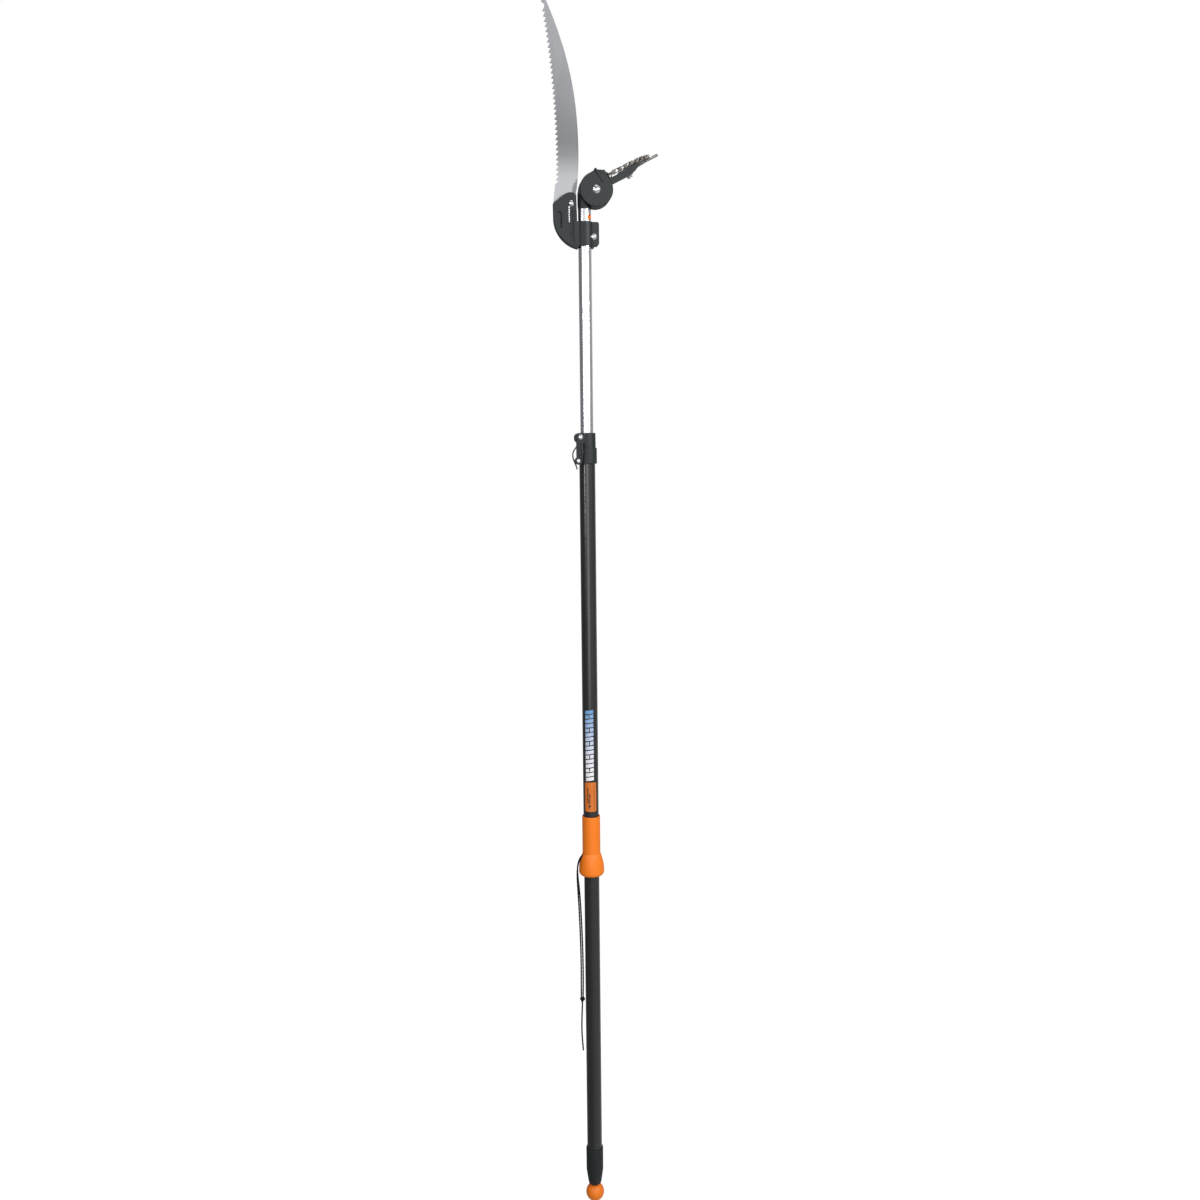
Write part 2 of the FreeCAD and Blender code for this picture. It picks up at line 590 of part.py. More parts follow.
def head_casting():
    """Rear half of the head: drum housing, the arm's rear wall and the deck that carries the jaws."""
    disc = yrod(DISC_R, DISC_SPLIT, DISC_BACK, 0, 0)
    root = slab([(0, 0, 0), (44, 0, 0), (44, ARM_TOP, 0), (38, ARM_TOP, 0), (38, 21, 2), (14.4, 33.4, 2),
                 (0, 31.4, 0)], in_xz, DISC_SPLIT, DISC_BACK)
    deck = slab(DECK_OUTLINE, in_xy, DECK_LOW, ARM_TOP)
    wall = slab([(30, 0, 0), (78, 0, 4), (99, 6.0, 1.5), (100, ARM_TOP, 0), (30, ARM_TOP, 0)],
                in_xz, DISC_SPLIT, 0.4)
    boss = rod(8.0, BOSS_LOW, DECK_LOW, PIVOT_U, PIVOT_Y)
    body = join(disc, root, deck, wall, boss)
    body = body.cut(yrod(DISC_R - SHELL_WALL, DISC_SPLIT - 1, DISC_BACK - 2, 0, 0))
    body = body.cut(rod(BOLT_R, -5, 20, PIVOT_U, PIVOT_Y))
    body = body.cut(rod(M5_R, -5, 20, *HOOK_SCREW))
    body = body.cut(yrod(BOLT_R, -5, 20, 0, 0))
    for u in SHELL_SCREW_U:
        body = body.cut(yrod(SMALL_SCREW_R, -5, 1, u, SHELL_SCREW_N))
    # the drive rope's mouth: a cylinder about +Y starts at +Z and sweeps towards +X
    mouth = Part.makeCylinder(DISC_R + 2, 6.0, V(0, 1.1, 0), V(0, 1, 0), ROPE_MOUTH_TO - ROPE_MOUTH_FROM)
    mouth = mouth.cut(yrod(DISC_R - SHELL_WALL - 1, 0, 10, 0, 0))
    mouth.rotate(V(0, 0, 0), V(0, 1, 0), 90 - ROPE_MOUTH_TO)
    return body.cut(mouth)


def shell_screws():
    """Screws through the casting's wall into the front shell's bosses."""
    screws = []
    for u in SHELL_SCREW_U:
        head = yrod(2.6, 0.4, 2.2, u, SHELL_SCREW_N)
        screws.append(join(head, yrod(SMALL_SCREW_R, -13.5, 0.4, u, SHELL_SCREW_N)))
    return Part.Compound(screws)


def swivel_bolt():
    """Carriage bolt on the swivel axis."""
    head = domed_head(8.2, 3.8, 0, DISC_FRONT, 0)
    return join(head, yrod(BOLT_R, DISC_FRONT, 31.0, 0, 0))


def swivel_washer():
    washer = yrod(22.0, DISC_BACK, DISC_BACK + 0.3, 0, 0)
    return washer.cut(yrod(BOLT_R, DISC_BACK - 1, DISC_BACK + 2, 0, 0))


def swivel_knob():
    """Three-lobed knob on the bolt's threaded end."""
    hub = yrod(9.0, 19.9, 30.0, 0, 0)
    lobes = []
    for k in range(3):
        angle = math.radians(120 * k + 90)
        lobe = yrod(6.0, 21.0, 29.0, 11.0 * math.cos(angle), 11.0 * math.sin(angle))
        lobes.append(lobe)
    knob = join(hub, *lobes)
    return knob.cut(yrod(BOLT_R + TURN_FIT, 15, 35, 0, 0))


# ---------------------------------------------------------------- rope drum

def rope_drum():
    """Stepped drum: the pole's rope turns the large groove and the small one winds in the chain cable."""
    winch_root = WINCH_R - CABLE_R - 0.1
    profile = [(BOLT_R + TURN_FIT, CHAIN_Y - 8, 0), (8.6, CHAIN_Y - 8, 0), (8.6, CHAIN_Y - 3.0, 0),
               (winch_root, CHAIN_Y - 1.7, 0), (winch_root, CHAIN_Y + 1.7, 0), (8.6, CHAIN_Y + 3.0, 0),
               (8.6, 0.2, 0),
               (28.6, 0.2, 0), (28.6, 1.2, 0), (DRUM_R - ROPE_R - 0.1, 2.0, 0),
               (DRUM_R - ROPE_R - 0.1, 6.0, 0), (28.6, 6.8, 0), (28.6, 7.7, 0), (BOLT_R + TURN_FIT, 7.7, 0)]
    drum = turned(profile)
    drum.rotate(V(0, 0, 0), V(1, 0, 0), -90)
    return drum


def drum_rope():
    """Turn of drive rope that lies in the large groove."""
    return torus_arc(DRUM_R, ROPE_R, V(0, ROPE_Y, 0), V(0, -1, 0), -80 - ARM_ANGLE, 258)


def winch_cable():
    """Turn of chain cable that lies in the winch groove."""
    return torus_arc(WINCH_R, CABLE_R, V(0, CHAIN_Y, 0), V(0, -1, 0), -150, 250)


# ---------------------------------------------------------------- jaws

def around_pivot(radius, degrees):
    """Point in the jaws' plane, by its distance and angle from +u about the pivot."""
    angle = math.radians(degrees)
    return (PIVOT_U + radius * math.cos(angle), PIVOT_Y + radius * math.sin(angle))


def hook_plate():
    """Fixed hook jaw on the arm's deck, with a relief under the chain."""
    pivot = V(PIVOT_U, PIVOT_Y, ARM_TOP)
    inner = [pivot + V(8, 10, 0), pivot + V(35, -10, 0), pivot + V(61.5, -17.5, 0)]
    outer = [pivot + V(63, -22, 0), pivot + V(42, -27.5, 0), pivot + V(4, -13, 0)]
    edges = [Part.Arc(*inner).toShape(), Part.makeLine(inner[2], outer[0]), Part.Arc(*outer).toShape(),
             Part.makeLine(outer[2], inner[0])]
    face = Part.Face(Part.Wire(edges))
    horn = face.extrude(V(0, 0, HOOK_TOP - ARM_TOP))
    hub = rod(14.0, ARM_TOP, HOOK_TOP, PIVOT_U, PIVOT_Y)
    screw_u, screw_y = HOOK_SCREW
    lug = slab([(screw_u - 7, screw_y - 6, 6), (screw_u + 6, screw_y - 6, 4), (PIVOT_U + 8, PIVOT_Y - 12, 3),
                (PIVOT_U - 10, PIVOT_Y + 9, 3), (screw_u - 7, screw_y + 7, 6)], in_xy, ARM_TOP, HOOK_TOP)
    body = join(horn, hub, lug)
    relief_low = CHAIN_N - 4.4
    relief = ring(CHAIN_R + 7, CHAIN_R - 7, relief_low, HOOK_TOP + 1, PIVOT_U, PIVOT_Y)
    body = body.cut(relief.common(block(PIVOT_U - 5, PIVOT_U + 60, PIVOT_Y - 60, PIVOT_Y - 16, 0, 30)))
    body = body.cut(rod(BOLT_R, 0, 30, PIVOT_U, PIVOT_Y))
    return body.cut(rod(M5_R, 0, 30, *HOOK_SCREW))


def hook_screw():
    """Countersunk screw that keeps the hook from turning on the deck."""
    shank = rod(M5_R, DECK_LOW - 4.0, HOOK_TOP, *HOOK_SCREW)
    nut = hex_prism(M5_NUT, V(*HOOK_SCREW, DECK_LOW - 3.0), V(0, 0, 1), 3.0)
    return join(shank, nut)


def pivot_bolt():
    head = turned([(0, JAW_TOP + 0.6, 0), (7.0, JAW_TOP + 0.6, 0), (7.0, JAW_TOP + 2.4, 1.4),
                   (0, JAW_TOP + 2.9, 0)])
    head.translate(V(PIVOT_U, PIVOT_Y, 0))
    return join(head, rod(BOLT_R, BOSS_LOW - 5.6, JAW_TOP + 0.6, PIVOT_U, PIVOT_Y))


def pivot_washers():
    """Thin washers above and below the moving blade."""
    low = ring(9.5, BOLT_R, HOOK_TOP, HOOK_TOP + 0.15, PIVOT_U, PIVOT_Y)
    high = ring(9.5, BOLT_R, JAW_TOP + 0.3, JAW_TOP + 0.6, PIVOT_U, PIVOT_Y)
    return Part.Compound([low, high])


def pivot_nut():
    """Nut of the pivot bolt, under the deck's boss."""
    nut = hex_prism(10.0, V(PIVOT_U, PIVOT_Y, BOSS_LOW - 4.8), V(0, 0, 1), 4.8)
    return nut.cut(rod(BOLT_R, -8, BOSS_LOW + 1, PIVOT_U, PIVOT_Y))


def return_spring():
    """Torsion spring round the pivot boss that opens the jaws."""
    coils = [torus_arc(8.8, 0.45, V(PIVOT_U, PIVOT_Y, BOSS_LOW + 0.6 + 0.95 * k), V(0, 0, 1), 0, 360)
             for k in range(2)]
    return Part.Compound(coils)


def blade_point(along, across):
    """Point of the pruning blade, along its axis from the pivot and across to its back."""
    angle = math.radians(BLADE_OPEN)
    return V(PIVOT_U + along * math.cos(angle) - across * math.sin(angle),
             PIVOT_Y + along * math.sin(angle) + across * math.cos(angle), 0)


def pruner_blade():
    """Bell-crank blade: a cutting arm one side of the pivot and a chain sector on the other."""
    low = HOOK_TOP + 0.2
    edge = Part.Arc(blade_point(4, -11), blade_point(40, -8), blade_point(BLADE_REACH, 1)).toShape()
    spine = Part.Arc(blade_point(BLADE_REACH, 1), blade_point(40, 8), blade_point(4, 13)).toShape()
    root = Part.makeLine(blade_point(4, 13), blade_point(4, -11))
    face = Part.Face(Part.Wire([edge, spine, root]))
    face.translate(V(0, 0, low))
    arm = face.extrude(V(0, 0, JAW_TOP - low))
    hub = rod(14.0, low, JAW_TOP, PIVOT_U, PIVOT_Y)
    rim = CHAIN_R - 4.2
    first = -96.0
    last = -20.0
    rim_ends = [V(*around_pivot(rim, a), low) for a in (first, (first + last) / 2, last)]
    centre = V(PIVOT_U, PIVOT_Y, low)
    sector_face = Part.Face(Part.Wire([Part.makeLine(centre, rim_ends[0]), Part.Arc(*rim_ends).toShape(),
                                       Part.makeLine(rim_ends[2], centre)]))
    sector = sector_face.extrude(V(0, 0, JAW_TOP - low))
    anchor_u, anchor_y = pin_place(CHAIN_ANCHOR)
    lug = rod(4.0, low, JAW_TOP, anchor_u, anchor_y)
    reach = slab([(anchor_u - 10, anchor_y - 4, 0), (anchor_u, anchor_y - 4, 0),
                  (anchor_u, anchor_y + 4, 0), (anchor_u - 10, anchor_y + 4, 0)], in_xy, low, JAW_TOP)
    body = join(arm, hub, sector, lug, reach)
    body = body.cut(rod(BOLT_R + TURN_FIT, 10, 30, PIVOT_U, PIVOT_Y))
    body = body.cut(rod(1.8, 10, 30, anchor_u, anchor_y))
    lightening = rod(6.0, 10, 30, *around_pivot(29, -55))
    return body.cut(lightening)


# ---------------------------------------------------------------- chain

def pin_place(index):
    """Chain pin centre: pins from 0 lie round the sector, negative ones along the straight run."""
    if index < 0:
        return (PIVOT_U + CHAIN_PITCH * index, CHAIN_Y)
    step = 2 * math.degrees(math.asin(CHAIN_PITCH / 2 / CHAIN_R))
    return around_pivot(CHAIN_R, -90 + step * index)


def side_plate(first, second, low, high):
    """Waisted link plate between two pins."""
    start = V(*first, 0)
    along = V(*second, 0) - start
    plate = rod(4.0, low, high, *first).fuse(rod(4.0, low, high, *second))
    bar = block(0, along.Length, -2.9, 2.9, low, high)
    bar.rotate(V(0, 0, 0), V(0, 0, 1), math.degrees(math.atan2(along.y, along.x)))
    bar.translate(start)
    return join(plate, bar)


def inner_link(first, second):
    """Two inner plates on two bushes, with a roller on each bush."""
    body = side_plate(first, second, CHAIN_N + 1.8, CHAIN_N + 2.6)
    body = body.fuse(side_plate(first, second, CHAIN_N - 2.6, CHAIN_N - 1.8))
    rollers = []
    for place in (first, second):
        body = body.fuse(rod(2.4, CHAIN_N - 2.2, CHAIN_N + 2.2, *place))
        rollers.append(ring(3.9, 2.45, CHAIN_N - 1.7, CHAIN_N + 1.7, *place))
    for place in (first, second):
        body = body.cut(rod(PIN_R + TURN_FIT, 0, 30, *place))
    return [body.removeSplitter()] + rollers


def outer_link(first, second):
    """Two outer plates riveted on two pins."""
    body = side_plate(first, second, CHAIN_N + 2.75, CHAIN_N + 3.55)
    body = body.fuse(side_plate(first, second, CHAIN_N - 3.55, CHAIN_N - 2.75))
    for place in (first, second):
        body = body.fuse(rod(PIN_R, CHAIN_N - 4.0, CHAIN_N + 4.0, *place))
    return [body.removeSplitter()]


def chain_part(first, last):
    """Links between two pin numbers; every second link is an outer one."""
    solids = []
    for index in range(first, last):
        ends = (pin_place(index), pin_place(index + 1))
        solids += inner_link(*ends) if index % 2 == 0 else outer_link(*ends)
    return head_place(Part.Compound(solids))


def chain_clevis():
    """V-shaped end fitting of the chain, with its tongue on the last pin and the cable's crimp."""
    last_u, last_y = pin_place(-3)
    vee = slab([(51.4, 13.4, 1), (51.4, 16.6, 1), (43.5, 16.6, 0), (35.0, 17.8, 0.5), (35.0, 16.0, 0.5),
                (43.2, 14.4, 0), (36.6, 8.4, 0.4), (38.2, 7.2, 0.4), (44.6, 13.4, 0)],
               in_xz, last_y - 3.4, last_y + 3.4)
    return vee.cut(rod(PIN_R + TURN_FIT, 0, 30, last_u, last_y))


def head_cable():
    """Short cable from the clevis towards the winch groove."""
    start = V(43.6, CHAIN_Y, 14.8)
    end = V(12.0, CHAIN_Y, 8.6)
    return Part.makeCylinder(CABLE_R, (end - start).Length, start, end - start)


# ---------------------------------------------------------------- grip

def grip_body():
    """Sliding grip: a plain sleeve that flares into a bell."""
    flare = Part.Arc(V(SLEEVE_R, 0, GRIP_TOP - 80), V(23.6, 0, GRIP_TOP - 95), V(BELL_R, 0, GRIP_TOP - 118))
    top_edge = Part.makeLine(V(16.95, 0, GRIP_TOP), V(SLEEVE_R - 1, 0, GRIP_TOP))
    lip = Part.Arc(V(SLEEVE_R - 1, 0, GRIP_TOP), V(SLEEVE_R - 0.3, 0, GRIP_TOP - 0.3),
                   V(SLEEVE_R, 0, GRIP_TOP - 1)).toShape()
    side = Part.makeLine(V(SLEEVE_R, 0, GRIP_TOP - 1), V(SLEEVE_R, 0, GRIP_TOP - 80))
    foot = Part.Arc(V(BELL_R, 0, GRIP_TOP - 118), V(BELL_R - 1.4, 0, GRIP_BOTTOM + 3.4),
                    V(BELL_R - 6.5, 0, GRIP_BOTTOM)).toShape()
    under = Part.makeLine(V(BELL_R - 6.5, 0, GRIP_BOTTOM), V(16.95, 0, GRIP_BOTTOM))
    bore = Part.makeLine(V(16.95, 0, GRIP_BOTTOM), V(16.95, 0, GRIP_TOP))
    face = Part.Face(Part.Wire([top_edge, lip, side, flare.toShape(), foot, under, bore]))
    body = face.revolve(V(0, 0, 0), V(0, 0, 1), 360)
    body = body.cut(yrod(LINK_PIN_R, 0, 18.0, 0, LINK_Z))
    for cord_y in (-3.9, -0.1):
        body = body.cut(Part.makeCylinder(CORD_R, 6.0, V(-16.0, cord_y, -559.5), V(-1, 0, 0)))
    return body


def grip_liner():
    """Slide bush inside the grip."""
    liner = ring(16.95, OUTER_R + SLIDE_FIT, GRIP_BOTTOM + 2, GRIP_TOP - 2)
    return liner.cut(yrod(LINK_PIN_R, 0, 30, 0, LINK_Z))


def rope_traveller():
    """Block inside the poles that ties the rope to the grip."""
    body = rod(INNER_R - INNER_WALL - 0.5, LINK_Z - 15, LINK_Z + 15)
    return body.cut(yrod(LINK_PIN_R, 5.0, 20, 0, LINK_Z))


def link_pin():
    return yrod(LINK_PIN_R, 5.0, 18.0, 0, LINK_Z)


# The hanging cord: two strands leave the bell's shoulder, meet in a knot and end in one tail
STRAND_A = [(-18.6, -4.1, -560.9), (-25.0, -4.5, -567.5), (-30.6, -4.5, -584.0), (-31.6, -4.2, -607.0),
            (-30.0, -3.9, -640.0), (-27.6, -3.7, -690.0), (-25.8, -3.7, -748.0), (-25.0, -3.3, -806.0),
            (-25.5, -2.6, -850.0), (-25.3, -2.0, -876.0)]
STRAND_B = [(-18.6, 0.0, -561.0), (-25.2, 0.0, -568.0), (-30.2, 0.0, -584.5), (-29.8, -0.3, -607.0),
            (-26.3, -0.7, -640.0), (-23.6, -1.0, -690.0), (-21.7, -1.4, -748.0), (-20.7, -1.2, -806.0),
            (-21.0, -1.0, -850.0), (-21.6, -1.4, -876.0)]
TAIL = [(-23.2, -1.6, -886.0), (-24.0, -1.9, -906.0), (-25.4, -1.7, -940.0), (-24.4, -1.2, -972.0),
        (-22.4, -1.4, -996.0)]


def cord_knot():
    """Overhand knot that gathers both strands."""
    return Part.makeSphere(KNOT_R, V(*KNOT))


# ---------------------------------------------------------------- pull ball

def pull_ball():
    ball = Part.makeSphere(BALL_R, V(0, 0, BALL_Z))
    ball = ball.cut(rod(ROPE_R, BALL_Z - 10, BALL_Z + 30))
    return ball.cut(rod(5.0, BALL_Z - 30, BALL_Z - 10))


def ball_rope():
    return rod(ROPE_R, BALL_Z - 14, LINK_Z - 15.3)


def ball_ferrule():
    return ring(4.4, ROPE_R, BALL_Z - 16, BALL_Z - 10)


# ---------------------------------------------------------------- labels

def grip_label():
    """Thin sticker on the outer pole just above the grip, turned a little to the left."""
    skin = ring(OUTER_R + 0.15, OUTER_R, -465.0, -401.5)
    window = slab([(-11.6, -464.5, 3), (11.6, -464.5, 3), (11.6, -402.0, 3), (-11.6, -402.0, 3)],
                  in_xz, -20, 0)
    sticker = skin.common(window)
    sticker.rotate(V(0, 0, 0), V(0, 0, 1), -LABEL_TURN)
    return sticker


# ---------------------------------------------------------------- assembly

def build():
    """Every node by its name."""
    return {
        "outer_pole_tube": outer_pole_tube(),
        "pole_guide_bush": pole_guide_bush(),
        "collapse_stop": collapse_stop(),
        "pole_end_boot": pole_end_boot(),
        "boot_rope_bush": boot_rope_bush(),
        "clamp_collar": clamp_collar(),
        "lever_bolt": lever_bolt(),
        "lever_bolt_nut": lever_bolt_nut(),
        "collar_screw": collar_screw(),
        "grip_label": grip_label(),
        "clamp_lever": clamp_lever(),
        "lever_end_screw": lever_end_screw(),
        "lever_cord": cord_tube("lever_cord", LEVER_CORD, LEVER_CORD_R),
        "inner_pole_tube": inner_pole_tube(),
        "inner_pole_foot": inner_pole_foot(),
        "neck_socket": neck_socket(),
        "button_spring": button_spring(),
        "drive_rope": drive_rope(),
        "saw_holder": saw_holder(),
        "saw_holder_back": saw_holder_back(),
        "saw_blade": saw_blade(),
        "blade_screw": pan_screw(BLADE_SCREW_X, BLADE_SCREW_Z, 6.0, HOLDER_FRONT, 11.5),
        "bracket_screw": pan_screw(EAR_SCREW_X, EAR_SCREW_Z, 6.7, -EAR_DEPTH, 12.2),
        "holder_nuts": holder_nuts(),
        "lock_button": lock_button(),
        "head_shell_front": head_place(head_shell_front()),
        "head_casting": head_place(head_casting()),
        "shell_screws": head_place(shell_screws()),
        "swivel_bolt": head_place(swivel_bolt()),
        "swivel_washer": head_place(swivel_washer()),
        "swivel_knob": head_place(swivel_knob()),
        "rope_drum": head_place(rope_drum()),
        "drum_rope": head_place(drum_rope()),
        "winch_cable": head_place(winch_cable()),
        "hook_plate": head_place(hook_plate()),
        "hook_screw": head_place(hook_screw()),
        "pivot_bolt": head_place(pivot_bolt()),
        "pivot_washers": head_place(pivot_washers()),
        "pivot_nut": head_place(pivot_nut()),
        "return_spring": head_place(return_spring()),
        "pruner_blade": head_place(pruner_blade()),
        "blade_chain": chain_part(2, CHAIN_ANCHOR),
        "chain_link_a": chain_part(1, 2),
        "chain_link_b": chain_part(0, 1),
        "chain_run": chain_part(-3, 0),
        "chain_clevis": head_place(chain_clevis()),
        "head_cable": head_place(head_cable()),
        "grip_body": grip_body(),
        "grip_liner": grip_liner(),
        "rope_traveller": rope_traveller(),
        "link_pin": link_pin(),
        "cord_strand_a": cord_tube("cord_strand_a", STRAND_A, CORD_R),
        "cord_strand_b": cord_tube("cord_strand_b", STRAND_B, CORD_R),
        "cord_tail": cord_tube("cord_tail", TAIL, CORD_R),
        "cord_knot": cord_knot(),
        "pull_ball": pull_ball(),
        "ball_rope": ball_rope(),
        "ball_ferrule": ball_ferrule(),
    }


os.makedirs("parts", exist_ok=True)
for name, shape in build().items():
    shape.exportStep("parts/" + name + ".step")
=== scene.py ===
import json
import math

import bmesh
import bpy
from mathutils import Matrix, Vector


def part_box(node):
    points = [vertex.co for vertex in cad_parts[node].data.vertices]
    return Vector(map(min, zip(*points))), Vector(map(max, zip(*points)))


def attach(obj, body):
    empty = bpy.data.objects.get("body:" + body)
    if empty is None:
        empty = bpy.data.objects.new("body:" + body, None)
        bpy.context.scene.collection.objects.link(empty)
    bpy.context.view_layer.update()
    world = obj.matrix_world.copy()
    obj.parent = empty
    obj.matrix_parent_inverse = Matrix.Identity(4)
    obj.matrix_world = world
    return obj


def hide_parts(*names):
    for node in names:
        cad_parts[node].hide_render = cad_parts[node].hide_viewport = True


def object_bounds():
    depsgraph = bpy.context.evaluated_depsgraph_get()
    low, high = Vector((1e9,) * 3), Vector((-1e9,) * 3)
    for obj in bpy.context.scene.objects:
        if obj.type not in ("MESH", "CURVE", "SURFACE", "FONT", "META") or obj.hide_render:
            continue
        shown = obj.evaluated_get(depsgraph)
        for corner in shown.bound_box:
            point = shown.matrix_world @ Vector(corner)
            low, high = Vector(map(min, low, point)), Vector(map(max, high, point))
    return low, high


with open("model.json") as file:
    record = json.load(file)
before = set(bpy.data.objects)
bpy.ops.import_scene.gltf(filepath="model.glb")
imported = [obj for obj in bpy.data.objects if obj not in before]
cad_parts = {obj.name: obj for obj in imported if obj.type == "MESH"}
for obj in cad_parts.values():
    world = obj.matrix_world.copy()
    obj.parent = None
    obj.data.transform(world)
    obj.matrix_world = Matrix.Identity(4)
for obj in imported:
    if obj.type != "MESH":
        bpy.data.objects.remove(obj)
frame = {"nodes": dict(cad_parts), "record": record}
cad_low, cad_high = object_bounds()

# Telescoping pole saw. Metres, in the CAD frame: the pole stands on +Z and -Y is the front.

MM = 0.001


def linked(name, data):
    """New object with this data, in the scene."""
    made = bpy.data.objects.new(name, data)
    bpy.context.scene.collection.objects.link(made)
    return made


def bmesh_object(name, data, material):
    """New object from a bmesh, which is freed."""
    mesh = bpy.data.meshes.new(name)
    data.to_mesh(mesh)
    data.free()
    mesh.materials.append(material)
    return linked(name, mesh)


# ---------------------------------------------------------------- camera

FRAME_SIZE = 1200
FOCAL_PIXELS = 1066
SENSOR_WIDTH = 36
CAMERA_DISTANCE = 2.15
CAMERA_AZIMUTH = math.radians(8.39)
CAMERA_HEIGHT = 0.25
HEADING = math.radians(9.0)
PITCH = math.radians(7.27)
ROLL = math.radians(-0.55)


def make_camera():
    camera = linked("camera", bpy.data.cameras.new("camera"))
    camera.data.lens = FOCAL_PIXELS * SENSOR_WIDTH / FRAME_SIZE
    camera.data.sensor_width = SENSOR_WIDTH
    camera.data.clip_start = 0.02
    camera.data.clip_end = 200
    place = Vector((-math.sin(CAMERA_AZIMUTH), -math.cos(CAMERA_AZIMUTH), 0)) * CAMERA_DISTANCE
    place.z = CAMERA_HEIGHT
    turn = Matrix.Rotation(-HEADING, 4, "Z") @ Matrix.Rotation(math.pi / 2 - PITCH, 4, "X")
    camera.matrix_world = Matrix.Translation(place) @ turn @ Matrix.Rotation(ROLL, 4, "Z")
    bpy.context.scene.camera = camera


make_camera()


# ---------------------------------------------------------------- node helpers

def add(tree, kind, inputs=(), **settings):
    """Adds a node. Each input is (socket, value or another node's output)."""
    made = tree.nodes.new(kind)
    for key, value in settings.items():
        setattr(made, key, value)
    for socket, value in inputs:
        if isinstance(value, bpy.types.NodeSocket):
            tree.links.new(value, made.inputs[socket])
        else:
            made.inputs[socket].default_value = value
    return made


def new_material(name):
    """Node material without nodes, and its tree."""
    made = bpy.data.materials.new(name)
    made.use_nodes = True
    made.node_tree.nodes.clear()
    return made, made.node_tree


def rgba(colour, gain=1.0):
    return (*[min(1.0, c * gain) for c in colour], 1.0)


def ramp(tree, value, stops):
    """Colour ramp over value; stops are (place, grey)."""
    made = add(tree, "ShaderNodeValToRGB", [(0, value)])
    elements = made.color_ramp.elements
    while len(elements) < len(stops):
        elements.new(0.5)
    for element, (place, grey) in zip(elements, stops):
        element.position = place
        element.color = (grey, grey, grey, 1)
    return made.outputs[0]


def span(tree, value, low, high, to_low=0.0, to_high=1.0):
    return add(tree, "ShaderNodeMapRange", [(0, value), (1, low), (2, high), (3, to_low),
                                            (4, to_high)]).outputs[0]


def math_node(tree, operation, *values):
    return add(tree, "ShaderNodeMath", list(enumerate(values)), operation=operation).outputs[0]


def mix_colour(tree, factor, first, second, blend="MIX"):
    return add(tree, "ShaderNodeMix", [(0, factor), (6, first), (7, second)], data_type="RGBA",
               blend_type=blend).outputs[2]


def noise(tree, place, scale, stretch=(1, 1, 1), detail=3.0):
    """Noise in the object's metres; scale is in cycles per metre, and stretch is by axis."""
    mapped = add(tree, "ShaderNodeMapping", [("Vector", place), ("Scale", stretch)]).outputs[0]
    return add(tree, "ShaderNodeTexNoise", [("Vector", mapped), ("Scale", scale),
                                            ("Detail", detail)]).outputs[0]


COAT_ROUGHNESS = 0.25


def surface(name, colour, roughness, metallic=0.0, grain=900, stretch=(1, 1, 1), tone=0.08,
            spread=0.05, depth=0.02, smudge=18, smudge_tone=0.06, edge=0.3, coat=0.0,
            specular=0.5, shade=None, gloss=None):
    """Principled material with fine grain, broad smudges and soft edges.

    grain and smudge are in cycles per metre; the bump's depth and the edges' radius are in
    millimetres. shade and gloss take the tree and the place, and return a grey: shade multiplies
    the colour and so paints shade and reflection into it, and gloss multiplies the roughness.
    """
    made, tree = new_material(name)
    place = add(tree, "ShaderNodeTexCoord").outputs["Object"]
    fine = noise(tree, place, grain, stretch)
    broad = noise(tree, place, smudge, stretch=(1, 1, 0.5), detail=4.0)
    toned = mix_colour(tree, fine, rgba(colour, 1 - tone), rgba(colour, 1 + tone))
    smudges = ramp(tree, broad, [(0.3, 0.0), (0.7, 1.0)])
    toned = mix_colour(tree, smudge_tone, toned, smudges, "OVERLAY")
    # Painted shade and reflection: the shade grey darkens the colour itself.
    if shade:
        toned = mix_colour(tree, 1.0, toned, shade(tree, place), "MULTIPLY")
    rough = math_node(tree, "ADD",
                      span(tree, fine, 0.3, 0.7, roughness - spread, roughness + spread),
                      span(tree, broad, 0.35, 0.65, -spread / 2, spread / 2))
    if gloss:
        rough = math_node(tree, "MULTIPLY", rough, gloss(tree, place))
    rounded = add(tree, "ShaderNodeBevel", [("Radius", edge * MM)], samples=4).outputs[0]
    bump = add(tree, "ShaderNodeBump", [("Height", fine), ("Strength", 1.0),
                                        ("Distance", depth * MM),
                                        ("Normal", rounded)]).outputs[0]
    shader = add(tree, "ShaderNodeBsdfPrincipled", [("Base Color", toned), ("Roughness", rough),
                                                    ("Normal", bump), ("Metallic", metallic),
                                                    ("Coat Weight", coat),
                                                    ("Coat Roughness", COAT_ROUGHNESS),
                                                    ("Specular IOR Level", specular)])
    add(tree, "ShaderNodeOutputMaterial", [("Surface", shader.outputs[0])])
    return made


def by_height(low, high, stops):
    """Grey that changes up the pole; stops are (height in metres, grey)."""
    def made(tree, place):
        height = add(tree, "ShaderNodeSeparateXYZ", [(0, place)]).outputs["Z"]
        share = span(tree, height, low, high)
        return ramp(tree, share, [((at - low) / (high - low), grey) for at, grey in stops])
    return made


# ---------------------------------------------------------------- materials by the record's slots

CHARCOAL = (0.014, 0.018, 0.0195)
ORANGE = (0.95, 0.215, 0.004)

